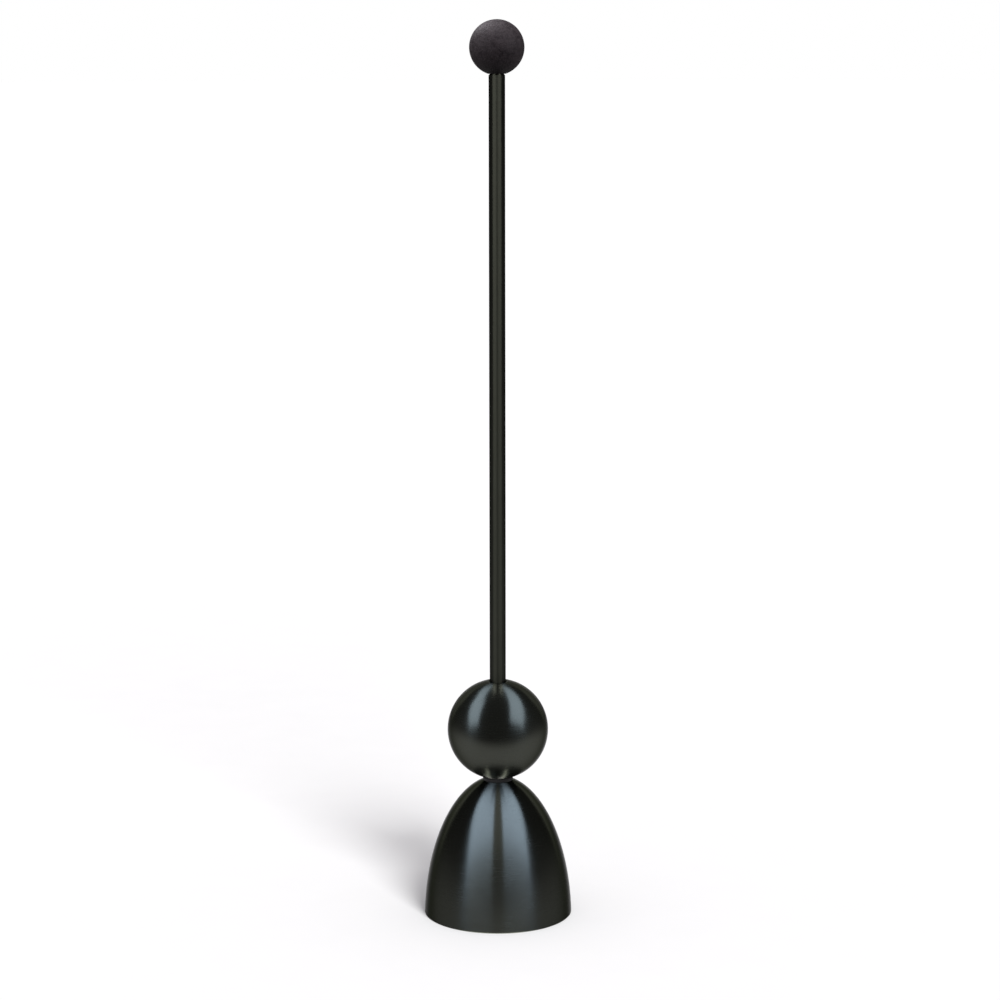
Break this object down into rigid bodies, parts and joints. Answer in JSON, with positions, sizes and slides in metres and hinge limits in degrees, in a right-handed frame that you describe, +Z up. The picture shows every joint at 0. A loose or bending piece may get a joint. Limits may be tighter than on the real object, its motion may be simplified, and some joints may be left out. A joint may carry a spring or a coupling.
{
  "type": "egg topper",
  "caption": "Drop-weight egg topper: bell-shaped cup with a sharp rim, bored ball sliding on a tall guide rod, round knob on top.",
  "frame": {"origin": "centre of the rim circle, on the plane that the rim stands on", "axes": "+Z up along the guide rod's axis; X and Y lie across it, and the part is round about +Z"},
  "size_m": [0.0444, 0.0444, 0.2672],
  "materials": {
    "coated_steel": "black coating over turned and brushed steel, satin",
    "black_plastic": "finely textured, matte",
    "brass": "turned",
    "bright_steel": "plain bright"
  },
  "bodies": {
    "stand": {"bell": "coated_steel", "strike_washer": "black_plastic", "guide_rod": "coated_steel", "knob": "black_plastic", "knob_insert": "brass", "spring_washer": "bright_steel", "hex_nut": "bright_steel"},
    "drop_ball": {"drop_ball": "coated_steel"}
  },
  "joints": [
    {"name": "ball_slide", "type": "slide", "parent": "stand", "child": "drop_ball", "axis": [0, 0, 1], "range_m": [0, 0.18]}
  ]
}
